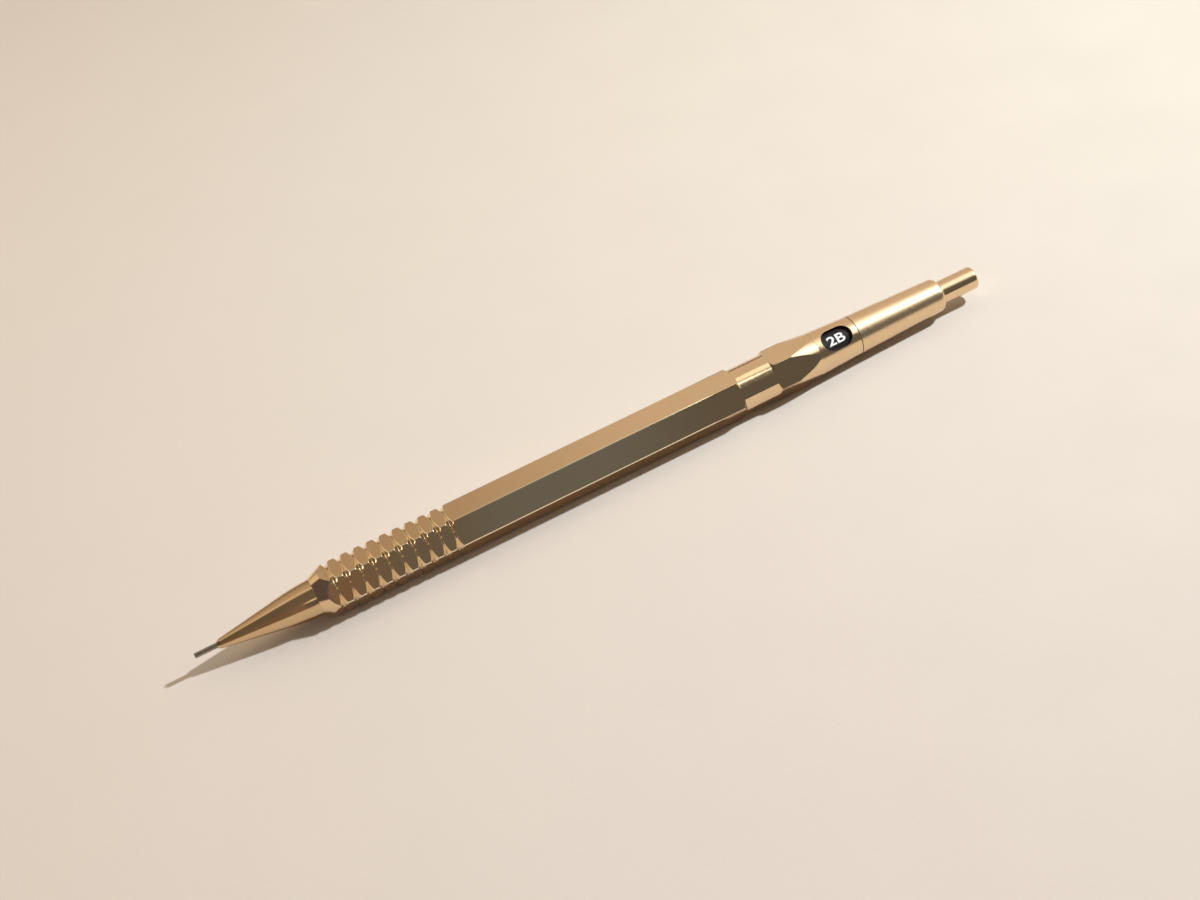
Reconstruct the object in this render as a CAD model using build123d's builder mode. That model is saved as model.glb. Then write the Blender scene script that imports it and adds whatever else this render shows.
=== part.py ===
from build123d import *
import os
from math import asin, cos, degrees, pi, radians, sin, tan

# Hexagonal metal mechanical pencil with a lead grade window in its barrel, in millimetres.
# It lies along X on one flat of its barrel: writing tip at -X, push button at +X, table at Z = 0,
# origin under the middle of its length. Distances along the pencil are counted from the tip.

# Outer sections, one after the other from the tip
SLEEVE_PROTRUSION = 3.8
NOSE_LENGTH = 16.8
BARREL_LENGTH = 99.6
END_SLEEVE_LENGTH = 17.45
BUTTON_PROTRUSION = 6.95

# Travels
BUTTON_TRAVEL = 2.5
RING_TRAVEL = 0.8

# Clearances: radial for sliding and seated pieces, axial between faces that move apart
LEAD_GAP = 0.02
SEAT_GAP = 0.015
RUN_GAP = 0.05
FACE_GAP = 0.02
END_GAP = 0.15
SEAM_GAP = 0.08

# Lead and its sleeve
LEAD_DIAMETER = 0.56
LEAD_LENGTH = 58.0
LEAD_RECESS = 0.05
SLEEVE_WALL = 0.13
SLEEVE_SEAT = 4.6
SPARE_LEADS = 3
SPARE_LENGTH = 60.0
SPARE_SETBACK = 0.5

# Nose cone: a straight cone that rounds into a near cylinder before the barrel
NOSE_TIP_LAND = 0.37
NOSE_TIP_CHAMFER = 0.2
NOSE_CHAMFER_LENGTH = 0.3
NOSE_CONE_LENGTH = 11.5
NOSE_CONE_RADIUS = 2.6
NOSE_REAR_RADIUS = 3.12
NOSE_SPIGOT_LENGTH = 7.8
NOSE_SPIGOT_WALL = 0.75
RETAINER_WALL = 0.7
RETAINER_LENGTH = 1.9

# Barrel outside
ACROSS_FLATS = 7.76
EDGE_ROUND = 0.22
FRONT_STEP = 0.02
FRONT_CHAMFER_ANGLE = 25
GRIP_START = 3.4
GRIP_PITCH = 2.252
GRIP_GROOVES = 10
GRIP_DEPTH = 0.14
GRIP_FLOOR = 0.06
GRIP_ANGLE = 84
CLIP_SETBACK = 16.6
CLIP_LENGTH = 6.35
CLIP_FLAT_MARGIN = 0.1
CLIP_FRONT_ANGLE = 40
CLIP_REAR_ANGLE = 52
TONGUE_LENGTH = 5.6
TAPER_LENGTH = 7.8
TAPER_STEP = 0.035
BARREL_REAR_WALL = 0.43
STOCK_MARGIN = 0.1

# Grade window and the drum behind it
WINDOW_LENGTH = 5.7
WINDOW_WIDTH = 3.8
WINDOW_SETBACK = 3.95
WINDOW_ANGLE = 57
DRUM_WALL = 0.49
DRUM_LENGTH = 7.1

# Rear sleeve that turns the drum, with its snap ring and friction ring
END_RADIUS = 2.95
END_ROUND = 1.05
END_LAND = 0.05
END_SPIGOT_LENGTH = 14.4
END_SPIGOT_WALL = 0.73
SNAP_SETBACK = 1.2
SNAP_WIDTH = 0.5
SNAP_DEPTH = 0.25
SNAP_OPENING = 40
FRICTION_SETBACK = 4.2
FRICTION_SECTION = 0.5

# Chuck, clutch ring and the housing that guides them
CHUCK_WALL = 0.7
HEAD_RISE = 0.32
HEAD_LAND = 0.35
HEAD_SHOW = 0.2
HEAD_CONE_LENGTH = 1.7
HEAD_CHAMFER = 0.12
RING_LAND = 0.38
JAW_GAP = 0.15
JAWS = 3
SLIT_WIDTH = 0.22
SLIT_LENGTH = 11.0
HOUSING_NECK_WALL = 0.55
HOUSING_FLANGE = 1.2
HOUSING_STEP = 1.0
HOUSING_WALL = 0.45
HOUSING_COVER = 2.3

# Spring and the connector that it pushes back
SPRING_WIRE = 0.34
SPRING_LENGTH = 15.9
SPRING_TURNS = 9
SPRING_GAP = 0.08
CHUCK_SEAT = 4.8
CONNECTOR_WALL = 0.235
CONNECTOR_FLANGE = 1.2
CONNECTOR_SEAT = 5.3
CHANNEL_GAP = 0.14
FUNNEL_LENGTH = 2.5
FUNNEL_LIP = 0.12

# Lead tube, button cap, eraser and cleaning needle
BUTTON_DIAMETER = 4.06
BUTTON_WALL = 0.35
BUTTON_END_WALL = 1.0
BUTTON_SKIRT = 3.05
BUTTON_ROUND = 0.5
TUBE_WALL = 0.33
TUBE_CLEARANCE = 0.12
TUBE_END_GAP = 2.4
ERASER_END_GAP = 0.7
ERASER_LENGTH = 7.7
FERRULE_WALL = 0.13
FERRULE_LENGTH = 4.0
FERRULE_FLOOR = 0.6
NEEDLE_DIAMETER = 0.4
NEEDLE_LENGTH = 19.0

# Stations along the pencil
nose_front = SLEEVE_PROTRUSION
barrel_front = nose_front + NOSE_LENGTH
barrel_rear = barrel_front + BARREL_LENGTH
end_rear = barrel_rear + END_SLEEVE_LENGTH
length = end_rear + BUTTON_PROTRUSION

sleeve_rear = nose_front + SLEEVE_SEAT
retainer_rear = sleeve_rear + RETAINER_LENGTH
chuck_front = retainer_rear + END_GAP + BUTTON_TRAVEL
cone_front = chuck_front + HEAD_LAND
cone_rear = cone_front + HEAD_CONE_LENGTH
ring_front = cone_front + HEAD_SHOW
ring_rear = cone_rear + RING_LAND
ring_stop = ring_front - RING_TRAVEL - FACE_GAP
housing_front = ring_rear + FACE_GAP
flange_front = barrel_front + NOSE_SPIGOT_LENGTH
flange_rear = flange_front + HOUSING_FLANGE
spring_front = flange_rear + HOUSING_STEP
spring_rear = spring_front + SPRING_LENGTH
connector_front = spring_front + END_GAP + BUTTON_TRAVEL
chuck_rear = connector_front + CHUCK_SEAT
tube_front = spring_rear + CONNECTOR_FLANGE
housing_rear = tube_front + HOUSING_COVER
connector_rear = tube_front + CONNECTOR_SEAT

end_front = barrel_rear + SEAM_GAP
spigot_front = barrel_rear - END_SPIGOT_LENGTH
snap_front = spigot_front + SNAP_SETBACK
snap_rear = snap_front + SNAP_WIDTH
friction_middle = spigot_front + FRICTION_SETBACK
drum_front = end_front - DRUM_LENGTH
taper_start = barrel_rear - TAPER_LENGTH
window_middle = barrel_rear - WINDOW_SETBACK
skirt_front = end_rear - BUTTON_SKIRT
button_floor = length - BUTTON_END_WALL
tube_rear = button_floor - TUBE_END_GAP
eraser_rear = button_floor - ERASER_END_GAP
eraser_front = eraser_rear - ERASER_LENGTH
ferrule_front = eraser_front - FERRULE_FLOOR

# Radii of the front mechanism, from the lead outwards
lead_radius = LEAD_DIAMETER / 2
lead_bore = lead_radius + LEAD_GAP
sleeve_radius = lead_bore + SLEEVE_WALL
nose_tip_radius = sleeve_radius + NOSE_TIP_LAND
retainer_radius = lead_bore + RETAINER_WALL
shank_radius = lead_bore + CHUCK_WALL
head_radius = shank_radius + HEAD_RISE
neck_bore = shank_radius + JAW_GAP
neck_radius = neck_bore + HOUSING_NECK_WALL
nose_bore = neck_radius + RUN_GAP
nose_spigot_radius = nose_bore + NOSE_SPIGOT_WALL
socket_radius = nose_spigot_radius + SEAT_GAP
channel_radius = lead_radius + CHANNEL_GAP
connector_radius = shank_radius + SEAT_GAP + CONNECTOR_WALL
spring_radius = connector_radius + SPRING_GAP + SPRING_WIRE / 2
chamber_radius = spring_radius + SPRING_WIRE / 2 + SPRING_GAP
housing_radius = chamber_radius + HOUSING_WALL
main_bore = housing_radius + RUN_GAP

# Radii of the rear, from the button cap inwards and then outwards to the barrel
button_radius = BUTTON_DIAMETER / 2
tube_radius = button_radius - BUTTON_WALL - LEAD_GAP
tube_bore = tube_radius - TUBE_WALL
ferrule_radius = tube_bore - SEAT_GAP
eraser_radius = ferrule_radius - FERRULE_WALL - SEAT_GAP
needle_radius = NEEDLE_DIAMETER / 2
end_bore = tube_radius + TUBE_CLEARANCE
end_spigot_radius = end_bore + END_SPIGOT_WALL
rear_bore = end_spigot_radius + RUN_GAP
drum_radius = end_spigot_radius + DRUM_WALL
drum_bore = drum_radius + RUN_GAP
seam_radius = drum_bore + BARREL_REAR_WALL
button_bore = button_radius + RUN_GAP

# Barrel radii
flat_radius = ACROSS_FLATS / 2
corner_radius = flat_radius / cos(pi / 6)
stock_radius = corner_radius + STOCK_MARGIN
front_radius = NOSE_REAR_RADIUS + FRONT_STEP

# The pencil's axis, and a plane through it with distance from the tip and radius as coordinates
tip_x = -length / 2
axis_z = flat_radius
PENCIL_AXIS = Axis((tip_x, 0, axis_z), (1, 0, 0))
AXIS_PLANE = Plane(origin=(tip_x, 0, axis_z), x_dir=(1, 0, 0), z_dir=(0, -1, 0))


def across(distance):
    """The plane across the pencil at a distance from the tip, facing the button."""
    return Plane(origin=(tip_x + distance, 0, axis_z), x_dir=(0, 1, 0), z_dir=(1, 0, 0))


def turn(*outline, mode=Mode.ADD):
    """Turn a closed outline of (distance from the tip, radius) points about the pencil's axis."""
    with BuildSketch(AXIS_PLANE) as profile:
        with BuildLine():
            Polyline(*outline, close=True)
        make_face()
    revolve(profile.sketch, axis=PENCIL_AXIS, mode=mode)


def tube(front, rear, inner, outer, mode=Mode.ADD):
    """Turn a plain tube, or a rod where the inner radius is 0."""
    turn((front, inner), (front, outer), (rear, outer), (rear, inner), mode=mode)


# Lead sleeve: thin steel tube pressed into the nose
with BuildPart() as guide_sleeve:
    tube(0, sleeve_rear, lead_bore, sleeve_radius)

# Nose cone, with the seats of the sleeve and the retainer, the chuck's cavity and the rear spigot
with BuildPart() as nose_cone:
    with BuildSketch(AXIS_PLANE):
        with BuildLine():
            tip_rim = (nose_front, nose_tip_radius - NOSE_TIP_CHAMFER)
            tip_corner = (nose_front + NOSE_CHAMFER_LENGTH, nose_tip_radius)
            cone_end = (nose_front + NOSE_CONE_LENGTH, NOSE_CONE_RADIUS)
            flank = Line(tip_corner, cone_end)
            TangentArc(cone_end, (barrel_front, NOSE_REAR_RADIUS), tangent=flank % 1)
            Polyline(
                (barrel_front, NOSE_REAR_RADIUS),
                (barrel_front, nose_spigot_radius),
                (flange_front, nose_spigot_radius),
                (flange_front, 0),
                (nose_front, 0),
                tip_rim,
                tip_corner,
            )
        make_face()
    revolve(axis=PENCIL_AXIS)
    tube(nose_front, sleeve_rear, 0, sleeve_radius + SEAT_GAP, mode=Mode.SUBTRACT)
    tube(sleeve_rear, retainer_rear, 0, retainer_radius + SEAT_GAP, mode=Mode.SUBTRACT)
    tube(retainer_rear, ring_stop, 0, head_radius + RUN_GAP, mode=Mode.SUBTRACT)
    tube(ring_stop, flange_front, 0, nose_bore, mode=Mode.SUBTRACT)

# Rubber retainer that holds the lead while the chuck goes back
with BuildPart() as lead_retainer:
    tube(sleeve_rear, retainer_rear, lead_bore, retainer_radius)

# Barrel: hexagon bar turned down at both ends, grooved for the grip, with its corners cut back for a clip,
# and bored
with BuildPart() as barrel:
    with BuildSketch(across(barrel_front)):
        hexagon = RegularPolygon(flat_radius, 6, major_radius=False)
        fillet(hexagon.vertices(), EDGE_ROUND)
    extrude(amount=BARREL_LENGTH)
    chamfer_run = (stock_radius - front_radius) / tan(radians(FRONT_CHAMFER_ANGLE))
    taper_radius = flat_radius - TAPER_STEP
    tongue_run = TONGUE_LENGTH * (stock_radius - taper_radius) / (corner_radius - taper_radius)
    turn(
        (barrel_front, 0),
        (barrel_front, front_radius),
        (barrel_front + chamfer_run, stock_radius),
        (taper_start - tongue_run, stock_radius),
        (taper_start, taper_radius),
        (barrel_rear, seam_radius),
        (barrel_rear, 0),
        mode=Mode.INTERSECT,
    )
    groove_floor = flat_radius - GRIP_DEPTH
    groove_reach = GRIP_FLOOR / 2 + (stock_radius - groove_floor) * tan(radians(GRIP_ANGLE / 2))
    groove_places = [(barrel_front + GRIP_START + i * GRIP_PITCH, 0) for i in range(GRIP_GROOVES)]
    with BuildSketch(AXIS_PLANE):
        with Locations(*groove_places):
            Polygon(
                (-groove_reach, stock_radius),
                (-GRIP_FLOOR / 2, groove_floor),
                (GRIP_FLOOR / 2, groove_floor),
                (groove_reach, stock_radius),
                align=None,
            )
    revolve(axis=PENCIL_AXIS, mode=Mode.SUBTRACT)
    clip_rear = barrel_rear - CLIP_SETBACK
    clip_front = clip_rear - CLIP_LENGTH
    clip_floor = flat_radius + CLIP_FLAT_MARGIN
    clip_rise = stock_radius - clip_floor
    turn(
        (clip_front - clip_rise / tan(radians(CLIP_FRONT_ANGLE)), stock_radius),
        (clip_front, clip_floor),
        (clip_rear, clip_floor),
        (clip_rear + clip_rise / tan(radians(CLIP_REAR_ANGLE)), stock_radius),
        mode=Mode.SUBTRACT,
    )
    tube(barrel_front, flange_rear, 0, socket_radius, mode=Mode.SUBTRACT)
    tube(flange_rear, barrel_rear, 0, main_bore, mode=Mode.SUBTRACT)
    tube(spigot_front - END_GAP, barrel_rear, 0, rear_bore, mode=Mode.SUBTRACT)
    tube(drum_front - END_GAP, barrel_rear, 0, drum_bore, mode=Mode.SUBTRACT)
    snap_room = rear_bore + SNAP_DEPTH + RUN_GAP
    tube(snap_front - RUN_GAP, snap_rear + RUN_GAP, 0, snap_room, mode=Mode.SUBTRACT)
    window_normal = (0, -cos(radians(WINDOW_ANGLE)), sin(radians(WINDOW_ANGLE)))
    window_origin = (tip_x + window_middle, 0, axis_z)
    with BuildSketch(Plane(origin=window_origin, x_dir=(1, 0, 0), z_dir=window_normal)):
        SlotOverall(WINDOW_LENGTH, WINDOW_WIDTH)
    extrude(amount=stock_radius, mode=Mode.SUBTRACT)

# Grade drum, seen through the window
with BuildPart() as grade_drum:
    tube(drum_front, end_front, end_spigot_radius + SEAT_GAP, drum_radius)

# Rear sleeve with the spigot that carries the drum
with BuildPart() as end_sleeve:
    with BuildSketch(AXIS_PLANE):
        with BuildLine():
            seam_corner = (end_front, seam_radius)
            round_start = (end_rear - END_ROUND, END_RADIUS)
            rear_rim = (end_rear, button_bore + END_LAND)
            taper = Line(seam_corner, round_start)
            TangentArc(round_start, rear_rim, tangent=taper % 1)
            Polyline(
                rear_rim,
                (end_rear, end_bore),
                (spigot_front, end_bore),
                (spigot_front, end_spigot_radius),
                (end_front, end_spigot_radius),
                seam_corner,
            )
        make_face()
    revolve(axis=PENCIL_AXIS)
    tube(skirt_front - BUTTON_TRAVEL - END_GAP, end_rear, 0, button_bore, mode=Mode.SUBTRACT)
    snap_floor = end_spigot_radius - SNAP_DEPTH - RUN_GAP
    tube(snap_front - FACE_GAP, snap_rear + FACE_GAP, snap_floor, rear_bore, mode=Mode.SUBTRACT)
    friction_floor = rear_bore - FRICTION_SECTION - 2 * SEAT_GAP
    friction_reach = FRICTION_SECTION / 2 + SEAT_GAP
    tube(
        friction_middle - friction_reach,
        friction_middle + friction_reach,
        friction_floor,
        rear_bore,
        mode=Mode.SUBTRACT,
    )

# Split snap ring that keeps the rear sleeve in the barrel and lets it turn
with BuildPart() as snap_ring:
    snap_outer = rear_bore + SNAP_DEPTH
    with BuildSketch(across(snap_front)):
        Circle(snap_outer)
        Circle(end_spigot_radius - SNAP_DEPTH, mode=Mode.SUBTRACT)
        with BuildLine():
            Polyline(
                (0, 0),
                (2 * snap_outer, -2 * snap_outer * tan(radians(SNAP_OPENING / 2))),
                (2 * snap_outer, 2 * snap_outer * tan(radians(SNAP_OPENING / 2))),
                close=True,
            )
        make_face(mode=Mode.SUBTRACT)
    extrude(amount=SNAP_WIDTH)

# Rubber ring that holds the chosen grade by friction
with BuildPart() as friction_ring:
    with BuildSketch(AXIS_PLANE):
        with Locations((friction_middle, rear_bore - SEAT_GAP - FRICTION_SECTION / 2)):
            Circle(FRICTION_SECTION / 2)
    revolve(axis=PENCIL_AXIS)

# Chuck: three spring jaws with a conical head, on a long shank
with BuildPart() as chuck:
    turn(
        (chuck_front, lead_bore),
        (chuck_front, head_radius - HEAD_CHAMFER),
        (chuck_front + HEAD_CHAMFER, head_radius),
        (cone_front, head_radius),
        (cone_rear, shank_radius),
        (chuck_rear, shank_radius),
        (chuck_rear, channel_radius),
        (cone_rear, channel_radius),
        (cone_rear, lead_bore),
    )
    with BuildSketch(across(chuck_front)):
        with PolarLocations(head_radius, JAWS):
            Rectangle(2 * head_radius, SLIT_WIDTH)
    extrude(amount=SLIT_LENGTH, mode=Mode.SUBTRACT)

# Clutch ring that closes the jaws
with BuildPart() as clutch_ring:
    ring_gap = 2 * FACE_GAP
    cone_slope = HEAD_RISE / HEAD_CONE_LENGTH
    turn(
        (ring_front, head_radius - HEAD_SHOW * cone_slope + ring_gap),
        (ring_front, neck_radius),
        (ring_rear, neck_radius),
        (ring_rear, shank_radius + ring_gap),
        (cone_rear, shank_radius + ring_gap),
    )

# Housing clamped behind the nose: it guides the chuck and holds the spring
with BuildPart() as chuck_housing:
    turn(
        (housing_front, neck_bore),
        (housing_front, neck_radius),
        (flange_front, neck_radius),
        (flange_front, nose_spigot_radius),
        (flange_rear, nose_spigot_radius),
        (flange_rear, housing_radius),
        (housing_rear, housing_radius),
        (housing_rear, chamber_radius),
        (spring_front, chamber_radius),
        (spring_front, neck_bore),
    )

# Return spring
with BuildPart() as return_spring:
    with BuildLine() as coil:
        coil_height = SPRING_LENGTH - SPRING_WIRE - 2 * FACE_GAP
        coil_start = (tip_x + spring_front + SPRING_WIRE / 2 + FACE_GAP, 0, axis_z)
        Helix(coil_height / SPRING_TURNS, coil_height, spring_radius, coil_start, (1, 0, 0))
    with BuildSketch(Plane(origin=coil.line @ 0, z_dir=coil.line % 0)):
        Circle(SPRING_WIRE / 2)
    sweep()

# Connector from the chuck to the lead tube, with a funnel that leads the next lead in
with BuildPart() as tube_connector:
    funnel_radius = tube_bore - SEAT_GAP - FUNNEL_LIP
    turn(
        (connector_front, shank_radius + SEAT_GAP),
        (connector_front, connector_radius),
        (spring_rear, connector_radius),
        (spring_rear, chamber_radius - RUN_GAP),
        (tube_front, chamber_radius - RUN_GAP),
        (tube_front, tube_bore - SEAT_GAP),
        (connector_rear, tube_bore - SEAT_GAP),
        (connector_rear, funnel_radius),
        (connector_rear - FUNNEL_LENGTH, channel_radius),
        (chuck_rear, channel_radius),
        (chuck_rear, shank_radius + SEAT_GAP),
    )

# Lead tube that carries the push from the button
with BuildPart() as lead_tube:
    tube(tube_front, tube_rear, tube_bore, tube_radius)

# Push button: a cap over the end of the lead tube
with BuildPart() as push_button:
    tube(skirt_front, length, 0, button_radius)
    button_rim = push_button.edges().group_by(Axis.X)[-1]
    fillet(button_rim, BUTTON_ROUND)
    tube(skirt_front, button_floor, 0, tube_radius + LEAD_GAP, mode=Mode.SUBTRACT)

# Eraser under the cap, in a ferrule with the cleaning needle
with BuildPart() as eraser:
    tube(eraser_front, eraser_rear, 0, eraser_radius)

with BuildPart() as eraser_ferrule:
    turn(
        (ferrule_front, needle_radius + SEAT_GAP),
        (ferrule_front, ferrule_radius),
        (ferrule_front + FERRULE_LENGTH, ferrule_radius),
        (ferrule_front + FERRULE_LENGTH, eraser_radius + SEAT_GAP),
        (eraser_front, eraser_radius + SEAT_GAP),
        (eraser_front, needle_radius + SEAT_GAP),
    )

with BuildPart() as cleaning_needle:
    tube(eraser_front - NEEDLE_LENGTH, eraser_front, 0, needle_radius)

# Lead in use, through the sleeve, retainer and chuck
with BuildPart() as lead:
    tube(LEAD_RECESS, LEAD_RECESS + LEAD_LENGTH, 0, lead_radius)

pieces = {
    "guide_sleeve": guide_sleeve,
    "nose_cone": nose_cone,
    "lead_retainer": lead_retainer,
    "barrel": barrel,
    "grade_drum": grade_drum,
    "end_sleeve": end_sleeve,
    "snap_ring": snap_ring,
    "friction_ring": friction_ring,
    "chuck": chuck,
    "clutch_ring": clutch_ring,
    "chuck_housing": chuck_housing,
    "return_spring": return_spring,
    "tube_connector": tube_connector,
    "lead_tube": lead_tube,
    "push_button": push_button,
    "eraser": eraser,
    "eraser_ferrule": eraser_ferrule,
    "cleaning_needle": cleaning_needle,
    "lead": lead,
}

# Spare leads side by side on the floor of the lead tube
spare_orbit = tube_bore - lead_radius - LEAD_GAP
spare_step = 2 * degrees(asin((lead_radius + LEAD_GAP) / spare_orbit))
spare_front = connector_rear + SPARE_SETBACK
for index in range(SPARE_LEADS):
    spare_angle = radians(-90 + (index - (SPARE_LEADS - 1) / 2) * spare_step)
    with BuildPart() as spare_lead:
        with BuildSketch(across(spare_front)):
            with Locations((spare_orbit * cos(spare_angle), spare_orbit * sin(spare_angle))):
                Circle(lead_radius)
        extrude(amount=SPARE_LENGTH)
    pieces[f"spare_lead_{index + 1}"] = spare_lead

os.makedirs("parts", exist_ok=True)
for name, piece in pieces.items():
    piece.part.label = name
    export_step(piece.part, f"parts/{name}.step")
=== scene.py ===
import math

import bmesh
import bpy
from mathutils import Matrix, Vector


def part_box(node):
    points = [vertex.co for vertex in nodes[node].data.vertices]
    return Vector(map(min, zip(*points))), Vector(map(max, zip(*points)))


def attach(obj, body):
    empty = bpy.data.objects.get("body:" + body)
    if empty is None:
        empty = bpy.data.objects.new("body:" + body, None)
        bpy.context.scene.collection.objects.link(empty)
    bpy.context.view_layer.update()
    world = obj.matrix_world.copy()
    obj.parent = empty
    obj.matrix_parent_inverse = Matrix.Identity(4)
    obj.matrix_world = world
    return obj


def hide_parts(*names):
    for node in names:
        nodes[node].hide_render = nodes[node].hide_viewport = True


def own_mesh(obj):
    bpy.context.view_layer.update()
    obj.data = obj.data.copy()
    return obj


# A gold hexagonal mechanical pencil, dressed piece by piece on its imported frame, in metres.
# The turned pieces are spun from outlines of (distance from the tip, radius) in millimetres.

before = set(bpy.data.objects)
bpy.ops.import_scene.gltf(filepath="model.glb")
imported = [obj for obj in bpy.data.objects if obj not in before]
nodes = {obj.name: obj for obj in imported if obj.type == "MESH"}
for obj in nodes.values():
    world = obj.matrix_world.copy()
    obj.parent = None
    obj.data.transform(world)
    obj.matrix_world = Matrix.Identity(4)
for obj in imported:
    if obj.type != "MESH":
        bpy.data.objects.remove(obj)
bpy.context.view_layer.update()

MM = 0.001
FRONT, REAR = 0, 1
SIXTH = math.pi / 3
TIP_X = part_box("guide_sleeve")[FRONT].x
SEAM_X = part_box("barrel")[REAR].x
AXIS_Z = sum(corner.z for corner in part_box("nose_cone")) / 2


def ends(node):
    """A node's front and rear ends, in millimetres from the tip."""
    return [(corner.x - TIP_X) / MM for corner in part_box(node)]


def radius(node):
    """A node's outer radius about the pencil's axis, in millimetres."""
    _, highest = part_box(node)
    return (highest.z - AXIS_Z) / MM


# Sizes of the visible metal pieces, in millimetres and degrees
NOSE_TIP_RADIUS = 0.80
NOSE_TIP_CHAMFER = 0.22
NOSE_CHAMFER_LENGTH = 0.5
NOSE_CONE_END = (15.3, 2.6)
NOSE_REAR_RADIUS = 3.12
NOSE_SPIGOT_RADIUS = 2.5
NOSE_BORE = 1.75
RING_STOP = 12.68
HEAD_CAVITY = 1.37
SLEEVE_BORE = 0.30
SEAT_PLAY = 0.015

ACROSS_FLATS = 7.76
CORNER_ROUND = 0.28
BARREL_FRONT_RADIUS = 3.14
FRONT_CHAMFER_ANGLE = 25
GROOVES = 10
GROOVE_START = 3.40
GROOVE_PITCH = 2.252
GROOVE_DEPTH = 0.14
GROOVE_FLOOR = 0.06
GROOVE_ANGLE = 84
CLIP_SETBACK = 16.6
CLIP_LENGTH = 6.35
CLIP_FLAT_MARGIN = 0.1
CLIP_FRONT_ANGLE = 40
CLIP_REAR_ANGLE = 52
TAPER_LENGTH = 7.8
TAPER_STEP = 0.035
TONGUE_LENGTH = 5.6
SEAM_RADIUS = 3.48
SOCKET_RADIUS = 2.515
MAIN_BORE = 2.25
REAR_BORE = 2.56
DRUM_BORE = 3.05
WINDOW_LENGTH = 5.7
WINDOW_WIDTH = 3.8
WINDOW_SETBACK = 3.95
WINDOW_ANGLE = 57
WINDOW_CUT = (1.2, 6.0)
FLANGE_ROOM = 1.2
END_GAP = 0.15

END_RADIUS = 2.95
END_ROUND = 1.05
END_BORE = 1.78
END_SPIGOT_RADIUS = 2.51
BUTTON_BORE = 2.08
BUTTON_RIM = 0.05
BUTTON_ROUND = 0.5
BUTTON_FLOOR = 1.0
BUTTON_INSIDE = 1.68
PRESS = 2.5

FLAT_RADIUS = ACROSS_FLATS / 2
CORNER_RADIUS = FLAT_RADIUS / math.cos(SIXTH / 2)
GROOVE_RADIUS = FLAT_RADIUS - GROOVE_DEPTH
CLIP_RADIUS = FLAT_RADIUS + CLIP_FLAT_MARGIN
CLIP_REAR = ends("barrel")[REAR] - CLIP_SETBACK
CLIP_FRONT = CLIP_REAR - CLIP_LENGTH
TAPER_RADIUS = FLAT_RADIUS - TAPER_STEP
ROUND_CENTRE = (FLAT_RADIUS - CORNER_ROUND) / math.cos(SIXTH / 2)
ROUND_START = math.atan((FLAT_RADIUS - CORNER_ROUND) * math.tan(SIXTH / 2) / FLAT_RADIUS)

# Edge breaks left by the lathe and the polishing wheel, in millimetres
KEEN = 0.02
BROKEN = 0.05
RIDGE = 0.12
CREST = 0.002
SCRIBE = 0.05
GROOVE_NOSE = 0.06

# The most of a side that an edge break takes, and how far a ridge's support points stand from its arc
SIDE_SHARE = 0.45
SUPPORT = 0.03
SUPPORT_SHARE = 0.04

# Fineness of the meshes
SPIN_STEPS = 192
ARC_STEPS = 5
SHOULDER_STEPS = 24
FLAT_STEPS = 18
CORNER_STEPS = 8
WINDOW_END_STEPS = 32
NEARLY_STRAIGHT = math.radians(89)
SHARP_EDGE = math.radians(35)
SAME_POINT = 1e-8
SAME_ANGLE = 1e-9


# Outlines and meshes

def unit(start, end):
    """The direction from one outline point to the next, and the distance."""
    step = Vector(end) - Vector(start)
    return step.normalized(), step.length


def rounded(corners):
    """A closed outline from (distance, radius, edge break) corners: each break becomes a short arc.

    A ridge also gets a point beside each end of its arc, which keeps the shading of its flanks flat."""
    points = []
    for i, (along, across, rounding) in enumerate(corners):
        here = Vector((along, across))
        if rounding == 0:
            points.append(here)
            continue
        back, back_room = unit(here, corners[i - 1][:2])
        ahead, ahead_room = unit(here, corners[(i + 1) % len(corners)][:2])
        half = back.angle(ahead) / 2
        most = SIDE_SHARE * min(back_room, ahead_room)
        if half > NEARLY_STRAIGHT:
            reach = min(rounding, most)
            first, last = here + back * reach, here + ahead * reach
            points += [first.lerp(last, step / ARC_STEPS) for step in range(ARC_STEPS + 1)]
            continue
        reach = min(rounding / math.tan(half), most)
        middle = here + (back + ahead).normalized() * reach / math.cos(half)
        first = here + back * reach - middle
        last = here + ahead * reach - middle
        arc = [first.slerp(last, step / ARC_STEPS) * first.length for step in range(ARC_STEPS + 1)]
        bent = [middle + spoke for spoke in arc]
        if rounding == RIDGE:
            bent.insert(0, bent[0] + back * min(SUPPORT, SUPPORT_SHARE * back_room))
            bent.append(bent[-1] + ahead * min(SUPPORT, SUPPORT_SHARE * ahead_room))
        points += bent
    return points


def tangent_arc(start, direction, end):
    """Points on the arc that leaves start in a direction and ends at end, without its first point."""
    start, end = Vector(start), Vector(end)
    side = Vector((-direction.y, direction.x))
    chord = end - start
    bend = chord.length_squared / (2 * chord.dot(side))
    centre = start + side * bend
    sweep = 2 * direction.angle_signed(chord)
    arm = start - centre
    shares = [i / SHOULDER_STEPS for i in range(1, SHOULDER_STEPS + 1)]
    return [centre + Matrix.Rotation(-sweep * share, 2) @ arm for share in shares]


def place(along, across, angle):
    """A point of the frame from millimetres along and across the pencil, and an angle from +Y to +Z."""
    return Vector((
        TIP_X + along * MM,
        across * math.cos(angle) * MM,
        AXIS_Z + across * math.sin(angle) * MM,
    ))


def skin(name, angles, outline_at):
    """A closed mesh through the outlines at the given angles around the pencil."""
    rows = [outline_at(angle) for angle in angles]
    count = len(rows[0])
    points = [place(p.x, p.y, angle) for angle, row in zip(angles, rows) for p in row]
    faces = []
    for i in range(len(angles)):
        this, following = i * count, ((i + 1) % len(angles)) * count
        for j in range(count):
            k = (j + 1) % count
            faces.append((this + j, this + k, following + k, following + j))
    return mesh_piece(name, points, faces)


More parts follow.
